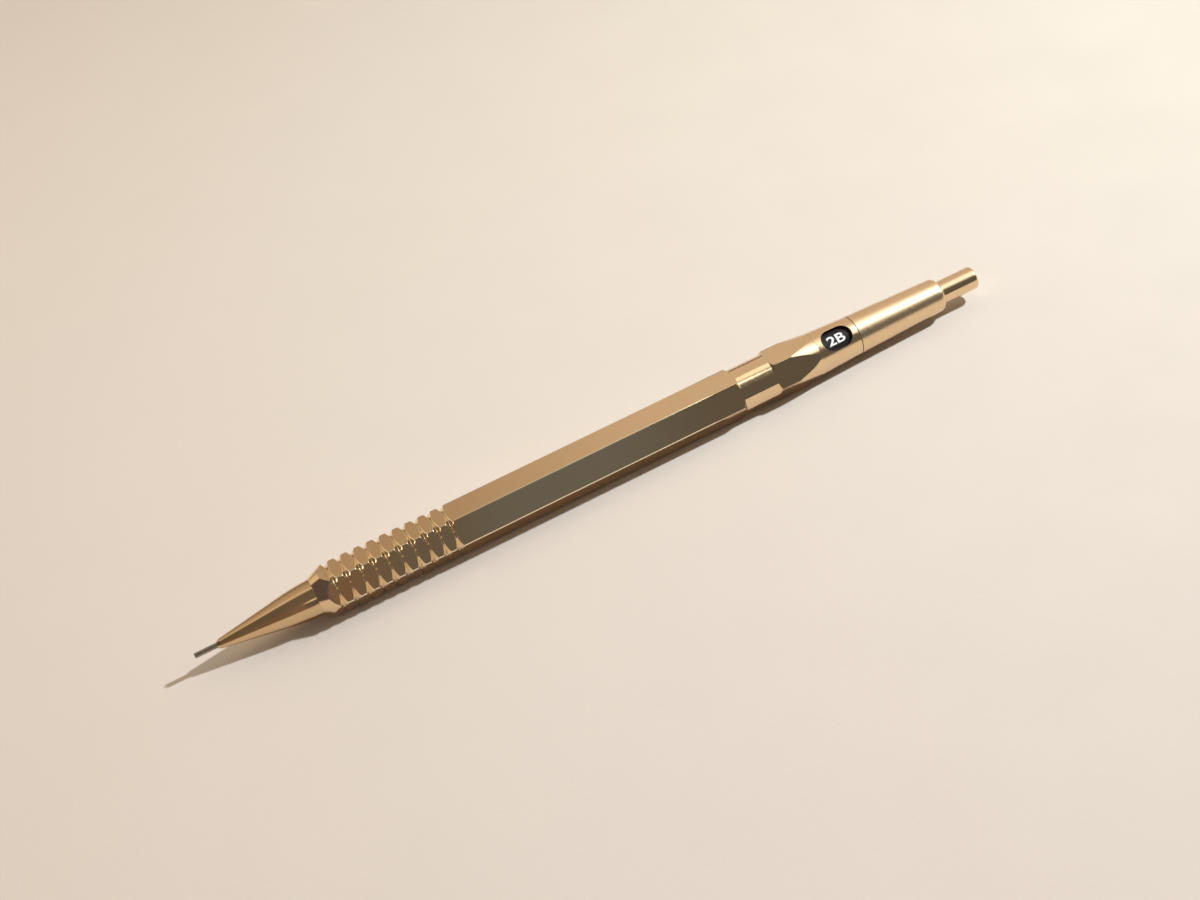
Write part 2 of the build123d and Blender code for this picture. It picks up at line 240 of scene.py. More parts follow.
def mesh_piece(name, points, faces):
    """A mesh object whose faces look outwards, with shared points merged."""
    mesh = bpy.data.meshes.new(name)
    mesh.from_pydata(points, [], faces)
    build = bmesh.new()
    build.from_mesh(mesh)
    bmesh.ops.remove_doubles(build, verts=build.verts, dist=SAME_POINT)
    bmesh.ops.recalc_face_normals(build, faces=build.faces)
    build.to_mesh(mesh)
    build.free()
    piece = bpy.data.objects.new(name, mesh)
    bpy.context.scene.collection.objects.link(piece)
    return piece


def even_shading(piece):
    """Smooth shading that keeps flat faces flat and sharp edges crisp."""
    piece.data.polygons.foreach_set("use_smooth", [True] * len(piece.data.polygons))
    piece.data.set_sharp_from_angle(angle=SHARP_EDGE)
    shading = piece.modifiers.new("even_shading", "WEIGHTED_NORMAL")
    shading.keep_sharp = True
    shading.weight = 100


def spun(name, corners):
    """A turned piece from its (distance, radius, edge break) corners."""
    outline = rounded(corners)
    angles = [2 * math.pi * i / SPIN_STEPS for i in range(SPIN_STEPS)]
    piece = skin(name, angles, lambda angle: outline)
    even_shading(piece)
    return piece


def stand_for(piece, node, body, finish):
    """Lets a piece take a node's place, on its body and in its material slot."""
    piece.data.materials.append(finish)
    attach(piece, body)
    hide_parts(node)


# Finishes

class Wire:
    """A socket in a node tree: operators on it add Math nodes."""

    def __init__(self, paint, socket):
        self.paint = paint
        self.socket = socket

    def math(self, operation, first, second=0.0):
        return self.paint.node("Math", {"operation": operation}, {0: first, 1: second})

    def __add__(self, other):
        return self.math("ADD", self, other)

    def __radd__(self, other):
        return self.math("ADD", other, self)

    def __sub__(self, other):
        return self.math("SUBTRACT", self, other)

    def __rsub__(self, other):
        return self.math("SUBTRACT", other, self)

    def __mul__(self, other):
        return self.math("MULTIPLY", self, other)

    def __rmul__(self, other):
        return self.math("MULTIPLY", other, self)

    def __truediv__(self, other):
        return self.math("DIVIDE", self, other)

    def __pow__(self, other):
        return self.math("POWER", self, other)

    def __abs__(self):
        return self.math("ABSOLUTE", self)

    def most(self, other):
        return self.math("MAXIMUM", self, other)

    def least(self, other):
        return self.math("MINIMUM", self, other)

    def rise(self, low, high):
        """A smooth step from 0 at low to 1 at high, or down where low is above high."""
        span = {0: self, 1: low, 2: high, 3: 0.0, 4: 1.0}
        return self.paint.node("MapRange", {"interpolation_type": "SMOOTHSTEP"}, span)

    def hump(self, start, full, fall, end):
        """1 from full to fall, and smoothly down to 0 at start and end."""
        return self.rise(start, full) * self.rise(end, fall)

    def near(self, middle, core, edge):
        """1 up to core away from a middle, and smoothly down to 0 at edge."""
        return abs(self - middle).rise(edge, core)

    def sway(self, amount):
        """A noise about nought instead of a half, times an amount."""
        return (self - 0.5) * amount

    def output(self, key):
        """Another output of the same node, by name or place."""
        return Wire(self.paint, self.socket.node.outputs[key])


class Paint:
    """The node tree of a finish or of the room, and the one way to add a node to it."""

    def __init__(self, tree):
        self.tree = tree
        tree.nodes.clear()

    def node(self, kind, settings=None, sockets=None, output=0):
        """Adds a node of a kind, with its settings and the values or links of its sockets."""
        node = self.tree.nodes.new("ShaderNode" + kind)
        for name, value in (settings or {}).items():
            if name == "stops":
                self.set_stops(node.color_ramp.elements, value)
            else:
                setattr(node, name, value)
        for key, value in (sockets or {}).items():
            if isinstance(value, Wire):
                self.tree.links.new(value.socket, node.inputs[key])
            else:
                node.inputs[key].default_value = value
        return Wire(self, node.outputs[output]) if len(node.outputs) else None

    def set_stops(self, elements, stops):
        while len(elements) < len(stops):
            elements.new(1.0)
        for element, (position, colour) in zip(elements, stops):
            element.position = position
            element.color = (*colour, 1.0)

    def axes(self, vector):
        first = self.node("SeparateXYZ", None, {0: vector})
        return first, first.output(1), first.output(2)

    def vector(self, x, y, z):
        return self.node("CombineXYZ", None, {0: x, 1: y, 2: z})

    def noise(self, vector, scale, detail, roughness):
        sockets = {"Vector": vector, "Scale": scale, "Detail": detail, "Roughness": roughness}
        return self.node("TexNoise", None, sockets)

    def mix(self, factor, first, second, blend="MIX"):
        settings = {"data_type": "RGBA", "blend_type": blend}
        return self.node("Mix", settings, {0: factor, 6: first, 7: second}, output=2)

    def bump(self, height, depth):
        return self.node("Bump", None, {"Strength": 1.0, "Distance": depth, "Height": height})


class Finish(Paint):
    """A material with one Principled shader, and places on the piece at rest, with z from the axis."""

    def __init__(self, name):
        self.material = bpy.data.materials.new(name)
        self.material.use_nodes = True
        super().__init__(self.material.node_tree)
        self.place = self.node("TexCoord", output=3)
        self.x, self.y, z = self.axes(self.place)
        self.z = z - AXIS_Z

    def close(self, **sockets):
        """Ends the finish: socket names in lower case with _ for spaces."""
        named = {}
        for key, value in sockets.items():
            named[key.replace("_", " ").title().replace("Ior", "IOR")] = value
        shader = self.node("BsdfPrincipled", None, named)
        self.node("OutputMaterial", None, {0: shader})
        return self.material


# Colours of the metals and the lead
GOLD = (0.80, 0.59, 0.37, 1.0)
DEEP_GOLD = (0.73, 0.52, 0.31, 1.0)
NOSE_GOLD = (0.69, 0.495, 0.285, 1.0)
DEEP_NOSE_GOLD = (0.63, 0.44, 0.24, 1.0)
# A lighter gold painted as a highlight on the barrel's corners and in the grip, and a darker gold painted as
# shade on the corners beside the clip groove
PAINTED_HIGHLIGHT_GOLD = (0.93, 0.80, 0.58, 1.0)
PAINTED_SHADE_GOLD = (0.46, 0.35, 0.23, 1.0)
# Brown for grime with painted shade in the grip's groove bottoms
GRIME_AND_SHADE = (0.30, 0.21, 0.11, 1.0)
SEAM_DIRT = (0.09, 0.065, 0.04, 1.0)
BRASS = (0.72, 0.53, 0.22, 1.0)
DARK_BRASS = (0.55, 0.38, 0.15, 1.0)
STEEL = (0.37, 0.34, 0.28, 1.0)
DARK_STEEL = (0.26, 0.235, 0.195, 1.0)
LEAD_BLACK = (0.055, 0.055, 0.06, 1.0)
LEAD_SPECK = (0.16, 0.16, 0.17, 1.0)

# Size of the marks on metal, in metres: across them, and along turned and drawn ones
MARK_PITCH = 0.05 * MM
TURNED_MARK = 0.004
DRAWN_MARK = 0.012

# Stretches of the barrel's marks and painted light, in millimetres: the grip from the tip, the rest from the
# clip groove
GRIP_STRETCH = (23.2, 23.6, 44.5, 45.0)
# Where the painted shade on the corners beside the clip groove is full, and where it ends
CORNER_SHADE_FULL, CORNER_SHADE_END = 4.0, 7.0
CLIP_FADE = 0.2
TURNED_START, TURNED_FULL = 3.0, 3.2


def turned_lines(paint, pitch=MARK_PITCH):
    """Fine marks that run round the pencil, as a lathe and a polishing cloth leave them."""
    grain = paint.vector(paint.x / pitch, paint.y / TURNED_MARK, paint.z / TURNED_MARK)
    return paint.noise(grain, scale=1.0, detail=2.0, roughness=0.6)


def drawn_lines(paint, pitch=MARK_PITCH):
    """Fine marks along the pencil, as drawn bar has on its flats."""
    grain = paint.vector(paint.x / DRAWN_MARK, paint.y / pitch, paint.z / pitch)
    return paint.noise(grain, scale=1.0, detail=2.0, roughness=0.6)


def barrel_marks_and_painted_light(paint, fine, colour, gloss, lines):
    """The barrel's marks and painted light: drawn flats, corners painted lighter as a highlight and darker
    beside the clip groove as shade, the grip's grooves and corners painted paler with grime and painted
    shade in their bottoms, brushed clip groove and dull taper.
    """
    along = (paint.x - TIP_X) / MM
    side = paint.y / MM
    up = paint.z / MM
    slant = up * 0.5
    lean = side * math.cos(SIXTH / 2)
    from_axis = (side * side + up * up) ** 0.5
    from_flats = abs(up).most(abs(lean + slant)).most(abs(lean - slant))
    on_flat = from_flats.rise(FLAT_RADIUS - 0.05, FLAT_RADIUS - 0.02)
    off_flat = 1.0 - on_flat
    lines = lines + (drawn_lines(paint) - lines) * on_flat

    # Corner roundings painted lighter as a highlight along the corner lines, and darker beside the clip
    # groove as painted shade
    corner_highlight = from_axis.rise(CORNER_RADIUS - 0.09, CORNER_RADIUS - 0.07)
    beside_clip = along.hump(CLIP_FRONT - CORNER_SHADE_END, CLIP_FRONT - CORNER_SHADE_FULL,
                             CLIP_REAR + CORNER_SHADE_FULL, CLIP_REAR + CORNER_SHADE_END)
    colour = paint.mix(corner_highlight, colour, paint.mix(beside_clip, PAINTED_HIGHLIGHT_GOLD, PAINTED_SHADE_GOLD))

    in_grip = along.hump(*GRIP_STRETCH) * off_flat
    # Patchy darker groove bottoms in the grip: grime with painted shade in the recesses; the same mask also
    # makes them rougher
    deep = from_axis.rise(FLAT_RADIUS - 0.04, FLAT_RADIUS - 0.13)
    dirt_and_shade = deep * in_grip * fine.rise(0.3, 0.75)
    # The grip's grooves and corners painted paler: a painted reflection that stands in for the pale light in
    # the V grooves
    colour = paint.mix(in_grip * 0.6, colour, PAINTED_HIGHLIGHT_GOLD)
    colour = paint.mix(dirt_and_shade * 0.6, colour, GRIME_AND_SHADE)

    in_clip = along.hump(CLIP_FRONT, CLIP_FRONT + CLIP_FADE, CLIP_REAR - CLIP_FADE, CLIP_REAR) * off_flat
    lines = lines * (1.0 + in_clip * 1.5) + fine.sway(8.0) * in_clip
    turned_end = along.rise(CLIP_REAR + TURNED_START, CLIP_REAR + TURNED_FULL) * off_flat
    gloss = gloss + dirt_and_shade * 0.2 + in_clip * 0.06 + turned_end * 0.07 - on_flat * 0.03
    return colour, gloss, lines


def gold_finish(name, roughness, plate=(GOLD, DEEP_GOLD), hexagon=False):
    """Polished gold plate, with marks of turning, faint tone changes and a dark seam."""
    paint = Finish(name)
    cloud = paint.noise(paint.place, scale=220.0, detail=3.0, roughness=0.55)
    fine = paint.noise(paint.place, scale=1500.0, detail=2.0, roughness=0.5)
    lines = turned_lines(paint)
    colour = paint.mix(cloud.rise(0.35, 0.85) * 0.35, *plate)
    gloss = roughness + lines.sway(0.06) + fine.sway(0.05)
    if hexagon:
        colour, gloss, lines = barrel_marks_and_painted_light(paint, fine, colour, gloss, lines)
    seam = paint.x.near(SEAM_X, 0.05 * MM, 0.08 * MM)
    return paint.close(
        base_color=paint.mix(seam, colour, SEAM_DIRT),
        metallic=1.0,
        roughness=gloss + seam * 0.4,
        normal=paint.bump(lines, 0.0012 * MM),
    )


def brass_finish(name):
    """Plain turned brass, duller and yellower than the plating."""
    paint = Finish(name)
    lines = turned_lines(paint, 0.08 * MM)
    cloud = paint.noise(paint.place, scale=400.0, detail=3.0, roughness=0.6)
    return paint.close(
        base_color=paint.mix(cloud.rise(0.35, 0.75), BRASS, DARK_BRASS),
        metallic=1.0,
        roughness=0.26 + lines.sway(0.14) + cloud * 0.06,
        normal=paint.bump(lines, 0.002 * MM),
    )


def steel_finish(name, roughness):
    """Drawn steel with marks along its length."""
    paint = Finish(name)
    lines = drawn_lines(paint, 0.03 * MM)
    cloud = paint.noise(paint.place, scale=700.0, detail=3.0, roughness=0.6)
    return paint.close(
        base_color=paint.mix(cloud.rise(0.3, 0.8), STEEL, DARK_STEEL),
        metallic=1.0,
        roughness=roughness + lines.sway(0.16),
        normal=paint.bump(lines, 0.001 * MM),
    )


def moulded_finish(name, colour, shade, roughness, shine=0.5):
    """A moulded plastic or rubber with a fine grain and faint cloudiness."""
    paint = Finish(name)
    pores = paint.noise(paint.place, scale=5400.0, detail=2.0, roughness=0.6)
    cloud = paint.noise(paint.place, scale=900.0, detail=3.0, roughness=0.55)
    return paint.close(
        base_color=paint.mix(cloud.rise(0.3, 0.75), colour, shade),
        roughness=roughness + pores.sway(0.18),
        specular_ior_level=shine,
        normal=paint.bump(pores, 0.002 * MM),
    )


def graphite_finish(name):
    """Polymer bound lead: near black with a dull sheen and specks of graphite."""
    paint = Finish(name)
    specks = paint.noise(paint.place, scale=9000.0, detail=2.0, roughness=0.5)
    lines = drawn_lines(paint, 0.04 * MM)
    return paint.close(
        base_color=paint.mix(specks.rise(0.55, 0.8), LEAD_BLACK, LEAD_SPECK),
        metallic=specks.rise(0.5, 0.8) * 0.4,
        roughness=0.42 + lines.sway(0.2),
        normal=paint.bump(lines, 0.0015 * MM),
    )


gold_nose = gold_finish("gold_nose", 0.12, plate=(NOSE_GOLD, DEEP_NOSE_GOLD))
gold_barrel = gold_finish("gold_barrel", 0.10, hexagon=True)
gold_end = gold_finish("gold_end", 0.26)
gold_button = gold_finish("gold_button", 0.11)
sleeve_steel = steel_finish("sleeve_steel", 0.30)
spring_steel = steel_finish("spring_steel", 0.24)
plain_brass = brass_finish("plain_brass")
black_plastic = moulded_finish(
    "black_plastic", (0.012, 0.011, 0.011, 1.0), (0.02, 0.018, 0.018, 1.0), 0.45, shine=0.15)
white_print = moulded_finish("white_print", (0.86, 0.85, 0.82, 1.0), (0.80, 0.79, 0.76, 1.0), 0.5)
tube_plastic = moulded_finish("tube_plastic", (0.74, 0.74, 0.70, 1.0), (0.66, 0.66, 0.62, 1.0), 0.38)
black_rubber = moulded_finish("black_rubber", (0.022, 0.022, 0.022, 1.0), (0.035, 0.034, 0.033, 1.0), 0.7)
white_eraser = moulded_finish("white_eraser", (0.83, 0.82, 0.78, 1.0), (0.74, 0.73, 0.70, 1.0), 0.82)
graphite = graphite_finish("graphite")


# Nose cone

def make_nose():
    """The gold nose: a chamfered tip, a cone and a rounded shoulder, with stepped bores."""
    front, rear = ends("nose_cone")
    barrel_front, _ = ends("barrel")
    sleeve_seat = radius("guide_sleeve") + SEAT_PLAY
    retainer_front, retainer_rear = ends("lead_retainer")
    retainer_seat = radius("lead_retainer") + SEAT_PLAY
    cone_start = (front + NOSE_CHAMFER_LENGTH, NOSE_TIP_RADIUS)
    lean, _ = unit(cone_start, NOSE_CONE_END)
    shoulder = tangent_arc(NOSE_CONE_END, lean, (barrel_front, NOSE_REAR_RADIUS))
    corners = [
        (front, sleeve_seat, KEEN),
        (front, NOSE_TIP_RADIUS - NOSE_TIP_CHAMFER, BROKEN),
        (*cone_start, BROKEN),
        (*NOSE_CONE_END, 0),
        *[(p.x, p.y, 0) for p in shoulder[:-1]],
        (barrel_front, NOSE_REAR_RADIUS, KEEN),
        (barrel_front, NOSE_SPIGOT_RADIUS, KEEN),
        (rear, NOSE_SPIGOT_RADIUS, BROKEN),
        (rear, NOSE_BORE, BROKEN),
        (RING_STOP, NOSE_BORE, KEEN),
        (RING_STOP, HEAD_CAVITY, KEEN),
        (retainer_rear, HEAD_CAVITY, KEEN),
        (retainer_rear, retainer_seat, KEEN),
        (retainer_front, retainer_seat, KEEN),
        (retainer_front, sleeve_seat, KEEN),
    ]
    nose = spun("turned_nose", corners)
    stand_for(nose, "nose_cone", "pencil_body", gold_nose)


# Hexagon barrel

def hexagon_radius(angle):
    """The rounded hexagon's reach at an angle, with flats facing up and down."""
    off_flat = (angle - math.pi / 2 + SIXTH / 2) % SIXTH - SIXTH / 2
    if abs(off_flat) <= ROUND_START + SAME_ANGLE:
        return FLAT_RADIUS / math.cos(off_flat)
    off_corner = SIXTH / 2 - abs(off_flat)
    side = ROUND_CENTRE * math.sin(off_corner)
    return ROUND_CENTRE * math.cos(off_corner) + math.sqrt(CORNER_ROUND ** 2 - side ** 2)


def hexagon_angles():
    """Angles round the barrel, evenly spaced on each flat and on each rounded corner."""
    angles = []
    for flat in range(6):
        middle = math.pi / 2 + flat * SIXTH
        for i in range(FLAT_STEPS):
            across = (2 * i / FLAT_STEPS - 1) * math.tan(ROUND_START)
            angles.append(middle + math.atan(across))
        corner = SIXTH - 2 * ROUND_START
        angles += [middle + ROUND_START + corner * i / CORNER_STEPS for i in range(CORNER_STEPS)]
    return angles


def flank_run(height, angle):
    """How far a slope at an angle from the axis goes while it rises by a height."""
    return height / math.tan(math.radians(angle))


def barrel_outline(angle):
    """The barrel's outline at an angle: outside from the front to the rear, then the bores."""
    front, rear = ends("barrel")
    reach = hexagon_radius(angle)
    steep = 90 - GROOVE_ANGLE / 2
    first_floor = GROOVE_START - GROOVE_FLOOR / 2
    slopes = flank_run(1, FRONT_CHAMFER_ANGLE) + flank_run(1, steep)
    room = first_floor - flank_run(BARREL_FRONT_RADIUS - GROOVE_RADIUS, steep) - 2 * CREST
    crest = min(reach, BARREL_FRONT_RADIUS + room / slopes)
    corners = [
        (front, SOCKET_RADIUS, KEEN),
        (front, BARREL_FRONT_RADIUS, KEEN),
        (front + flank_run(crest - BARREL_FRONT_RADIUS, FRONT_CHAMFER_ANGLE), crest, BROKEN),
    ]
    for i in range(GROOVES):
        middle = front + GROOVE_START + i * GROOVE_PITCH
        before = crest if i == 0 else reach
        corners += [
            (middle - GROOVE_FLOOR / 2 - flank_run(before - GROOVE_RADIUS, steep), before, RIDGE),
            (middle, GROOVE_RADIUS - flank_run(GROOVE_FLOOR / 2, 90 - steep), GROOVE_NOSE),
            (middle + GROOVE_FLOOR / 2 + flank_run(reach - GROOVE_RADIUS, steep), reach, RIDGE),
        ]
    floor = min(reach, CLIP_RADIUS)
    front_run = max(flank_run(reach - floor, CLIP_FRONT_ANGLE), BROKEN)
    rear_run = max(flank_run(reach - floor, CLIP_REAR_ANGLE), BROKEN)
    taper_start = rear - TAPER_LENGTH
    tongue = TONGUE_LENGTH * (reach - TAPER_RADIUS) / (CORNER_RADIUS - TAPER_RADIUS)
    corners += [
        (CLIP_FRONT - front_run, reach, BROKEN),
        (CLIP_FRONT, floor, BROKEN),
        (CLIP_REAR, floor, BROKEN),
        (CLIP_REAR + rear_run, reach, BROKEN),
        (taper_start - tongue, reach, BROKEN),
        (taper_start - SCRIBE, TAPER_RADIUS, KEEN),
        (taper_start, TAPER_RADIUS - SCRIBE / 2, KEEN),
        (taper_start + SCRIBE, TAPER_RADIUS, KEEN),
        (rear, SEAM_RADIUS, BROKEN),
    ]
    drum_room = ends("grade_drum")[FRONT] - END_GAP
    spigot_room = ends("end_sleeve")[FRONT] - END_GAP
    flange = ends("nose_cone")[REAR] + FLANGE_ROOM
    corners += [
        (rear, DRUM_BORE, KEEN),
        (drum_room, DRUM_BORE, KEEN),
        (drum_room, REAR_BORE, KEEN),
        (spigot_room, REAR_BORE, KEEN),
        (spigot_room, MAIN_BORE, KEEN),
        (flange, MAIN_BORE, KEEN),
        (flange, SOCKET_RADIUS, KEEN),
    ]
    return rounded(corners)


def window_cutter():
    """A stadium prism through the wall, from inside the bore to outside the barrel."""
    middle = ends("barrel")[REAR] - WINDOW_SETBACK
    lift = math.radians(180 - WINDOW_ANGLE)
    out = Vector((0, math.cos(lift), math.sin(lift)))
    up = Vector((0, math.sin(lift), -math.cos(lift)))
    half = WINDOW_WIDTH / 2
    straight = WINDOW_LENGTH / 2 - half
    rim = []
    for end, start in ((1, -math.pi / 2), (-1, math.pi / 2)):
        for i in range(WINDOW_END_STEPS + 1):
            angle = start + math.pi * i / WINDOW_END_STEPS
            rim.append((end * straight + half * math.cos(angle), half * math.sin(angle)))
    count = len(rim)
    points = []
    for depth in WINDOW_CUT:
        for along, across in rim:
            centre = place(middle + along, 0, 0)
            points.append(centre + (up * across + out * depth) * MM)
    faces = [tuple(range(count)), tuple(range(count, 2 * count))]
    faces += [(i, (i + 1) % count, count + (i + 1) % count, count + i) for i in range(count)]
    return mesh_piece("window_cutter", points, faces)


def make_barrel():
    """The hexagon bar with its grooves and taper, and the window cut through its wall."""
    barrel = skin("hexagon_barrel", hexagon_angles(), barrel_outline)
    cutter = window_cutter()
    cut = barrel.modifiers.new("window", "BOOLEAN")
    cut.operation = "DIFFERENCE"
    cut.solver = "EXACT"
    cut.object = cutter
    graph = bpy.context.evaluated_depsgraph_get()
    opened = bpy.data.meshes.new_from_object(barrel.evaluated_get(graph))
    barrel.modifiers.clear()
    barrel.data = opened
    bpy.data.objects.remove(cutter)
    even_shading(barrel)
    stand_for(barrel, "barrel", "pencil_body", gold_barrel)


# Rear sleeve, push button and lead sleeve

def make_end_sleeve():
    """The tapered rear sleeve, with its spigot in front and the button's pocket behind."""
    front, rear = ends("end_sleeve")
    seam = ends("grade_drum")[REAR]
    taper_end = (rear - END_ROUND, END_RADIUS)
    lean, _ = unit((seam, SEAM_RADIUS), taper_end)
    rim = (rear, BUTTON_BORE + BUTTON_RIM)
    shoulder = tangent_arc(taper_end, lean, rim)
    pocket = ends("push_button")[FRONT] - PRESS - END_GAP
    corners = [
        (front, END_BORE, KEEN),
        (front, END_SPIGOT_RADIUS, BROKEN),
        (seam, END_SPIGOT_RADIUS, KEEN),
        (seam, SEAM_RADIUS, BROKEN),
        (*taper_end, 0),
        *[(p.x, p.y, 0) for p in shoulder[:-1]],
        (*rim, KEEN),
        (rear, BUTTON_BORE, KEEN),
        (pocket, BUTTON_BORE, KEEN),
        (pocket, END_BORE, KEEN),
    ]
    sleeve = spun("rear_sleeve", corners)
    stand_for(sleeve, "end_sleeve", "grade_selector", gold_end)


def make_button():
    """The button cap, closed at the rear."""
    front, rear = ends("push_button")
    reach = radius("push_button")
    corners = [
        (front, BUTTON_INSIDE, KEEN),
        (front, reach, BROKEN),
        (rear, reach, BUTTON_ROUND),
        (rear, 0, 0),
        (rear - BUTTON_FLOOR, 0, 0),
        (rear - BUTTON_FLOOR, BUTTON_INSIDE, KEEN),
    ]
    button = spun("button_cap_shell", corners)
    stand_for(button, "push_button", "button_cap", gold_button)


def make_sleeve():
    """The thin steel tube that guides the lead."""
    front, rear = ends("guide_sleeve")
    reach = radius("guide_sleeve")
    corners = [
        (front, SLEEVE_BORE, KEEN),
        (front, reach, BROKEN),
        (rear, reach, KEEN),
        (rear, SLEEVE_BORE, KEEN),
    ]
    sleeve = spun("lead_sleeve", corners)
    stand_for(sleeve, "guide_sleeve", "pencil_body", sleeve_steel)


# White grades printed on the drum, one every 60 degrees, with the first in the window

GRADES = ("2B", "B", "F", "H", "2H", "3H")
PRINT_HEIGHT = 1.7
PRINT_WIDTH = 1.5
PRINT_GAP = 0.2
PRINT_RELIEF = 0.012
PRINT_SLICE = 0.1
PRINT_WEIGHT = 0.018
PRINT_CURVE_STEPS = 8
PRINT_SAME_POINT = 1e-5


def flat_letters(grade):
    """A grade's letters as a thin flat solid, in millimetres about its middle."""
    curve = bpy.data.curves.new("grade_" + grade, "FONT")
    curve.body = grade
    curve.offset = PRINT_WEIGHT
    curve.extrude = 0.5
    curve.resolution_u = PRINT_CURVE_STEPS
    text = bpy.data.objects.new("grade_" + grade, curve)
    bpy.context.scene.collection.objects.link(text)
    graph = bpy.context.evaluated_depsgraph_get()
    mesh = bpy.data.meshes.new_from_object(text.evaluated_get(graph))
    bpy.data.objects.remove(text)
    letters = bmesh.new()
    letters.from_mesh(mesh)
    bmesh.ops.remove_doubles(letters, verts=letters.verts, dist=PRINT_SAME_POINT)
    width = len(grade) * (PRINT_WIDTH + PRINT_GAP) - PRINT_GAP
    for axis, size in ((0, width), (1, PRINT_HEIGHT), (2, 2 * PRINT_RELIEF)):
        low = min(v.co[axis] for v in letters.verts)
        high = max(v.co[axis] for v in letters.verts)
        for v in letters.verts:
            v.co[axis] = ((v.co[axis] - low) / (high - low) - 0.5) * size
    slices = round(PRINT_HEIGHT / PRINT_SLICE)
    for i in range(1, slices):
        height = (i / slices - 0.5) * PRINT_HEIGHT
        everything = letters.verts[:] + letters.edges[:] + letters.faces[:]
        bmesh.ops.bisect_plane(letters, geom=everything, plane_co=(0, height, 0), plane_no=(0, 1, 0))
    letters.to_mesh(mesh)
    letters.free()
    return mesh


def print_grades():
    """Wraps each grade's letters round the drum."""
    drum = radius("grade_drum")
    middle = ends("barrel")[REAR] - WINDOW_SETBACK
    for i, grade in enumerate(GRADES):
        centre = math.radians(180 - WINDOW_ANGLE) + i * SIXTH
        mesh = flat_letters(grade)
        for v in mesh.vertices:
            along, up, out = v.co
            v.co = place(middle + along, drum + out, centre - up / drum)
        printed = bpy.data.objects.new("grade_print_" + grade, mesh)
        bpy.context.scene.collection.objects.link(printed)
        mesh.materials.clear()
        mesh.materials.append(white_print)
        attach(printed, "grade_selector")


# Return spring, which in the pencil shortens when the button is pressed; here it is built at its length in
# the frame

SPRING_RADIUS = 1.5
WIRE_RADIUS = 0.17
SPRING_TURNS = 9
TURN_STEPS = 40
WIRE_STEPS = 12


def make_spring():
    """A coil of round wire from the spring's front end to its rear end."""
    front, rear = ends("return_spring")
    length = rear - front
    run = length - 2 * WIRE_RADIUS
    count = SPRING_TURNS * TURN_STEPS
    slope = math.atan2(run / SPRING_TURNS, 2 * math.pi * SPRING_RADIUS)
    points, faces = [], []
    for i in range(count + 1):
        angle = 2 * math.pi * i / TURN_STEPS
        middle = front + WIRE_RADIUS + run * i / count
        for j in range(WIRE_STEPS):
            round_wire = 2 * math.pi * j / WIRE_STEPS
            out = SPRING_RADIUS + WIRE_RADIUS * math.cos(round_wire)
            side = WIRE_RADIUS * math.sin(round_wire)
            lean = -side * math.sin(slope) / SPRING_RADIUS
            points.append(place(middle + side * math.cos(slope), out, angle + lean))
    for i in range(count):
        for j in range(WIRE_STEPS):
            this, following = i * WIRE_STEPS, (i + 1) * WIRE_STEPS
            k = (j + 1) % WIRE_STEPS
            faces.append((this + j, this + k, following + k, following + j))
    faces.append(tuple(range(WIRE_STEPS)))
    faces.append(tuple(count * WIRE_STEPS + j for j in range(WIRE_STEPS)))
    spring = mesh_piece("coil_spring", points, faces)
    even_shading(spring)
    stand_for(spring, "return_spring", "pencil_body", spring_steel)
    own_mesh(spring)


make_nose()
make_barrel()
make_end_sleeve()
make_button()
make_sleeve()
print_grades()
make_spring()

carried_over = {
    "grade_drum": black_plastic,
    "lead_retainer": black_rubber,
    "friction_ring": black_rubber,
    "snap_ring": spring_steel,
    "chuck": plain_brass,
    "clutch_ring": plain_brass,
    "chuck_housing": plain_brass,
    "tube_connector": plain_brass,
    "eraser_ferrule": plain_brass,
    "lead_tube": tube_plastic,
    "eraser": white_eraser,
    "cleaning_needle": sleeve_steel,
    "lead": graphite,
    "spare_lead_1": graphite,
    "spare_lead_2": graphite,
    "spare_lead_3": graphite,
}
for name, finish in carried_over.items():
    nodes[name].data.materials.clear()
    nodes[name].data.materials.append(finish)


# Table top, room, lamp and camera

LAMP = Vector((0.30, -0.049, 0.262))
LAMP_POWER = 8.0
LAMP_RADIUS = 0.012
LAMP_COLOUR = (0.91, 0.96, 1.0)

# The table's tones: near and far on each side of the photograph, and by distance from the lamp outside it
TABLE_RADIUS = 1.6
RIGHT_TONES = ((0.320, 0.293, 0.250, 1.0), (0.555, 0.511, 0.430, 1.0))
LEFT_TONES = ((0.820, 0.741, 0.680, 1.0), (0.920, 0.832, 0.735, 1.0))
LAMP_TONES = [
    (0.00, (0.27, 0.245, 0.21)),
    (0.17, (0.42, 0.385, 0.33)),
    (0.28, (0.59, 0.535, 0.47)),
    (0.42, (0.82, 0.745, 0.68)),
    (0.80, (0.88, 0.82, 0.76)),
]

# The stretch of the table that the photograph shows, fading at both ends
VIEW_ALONG = (-0.26, -0.14, 0.16, 0.25)
VIEW_ACROSS = (-0.22, -0.12, 0.26, 0.38)


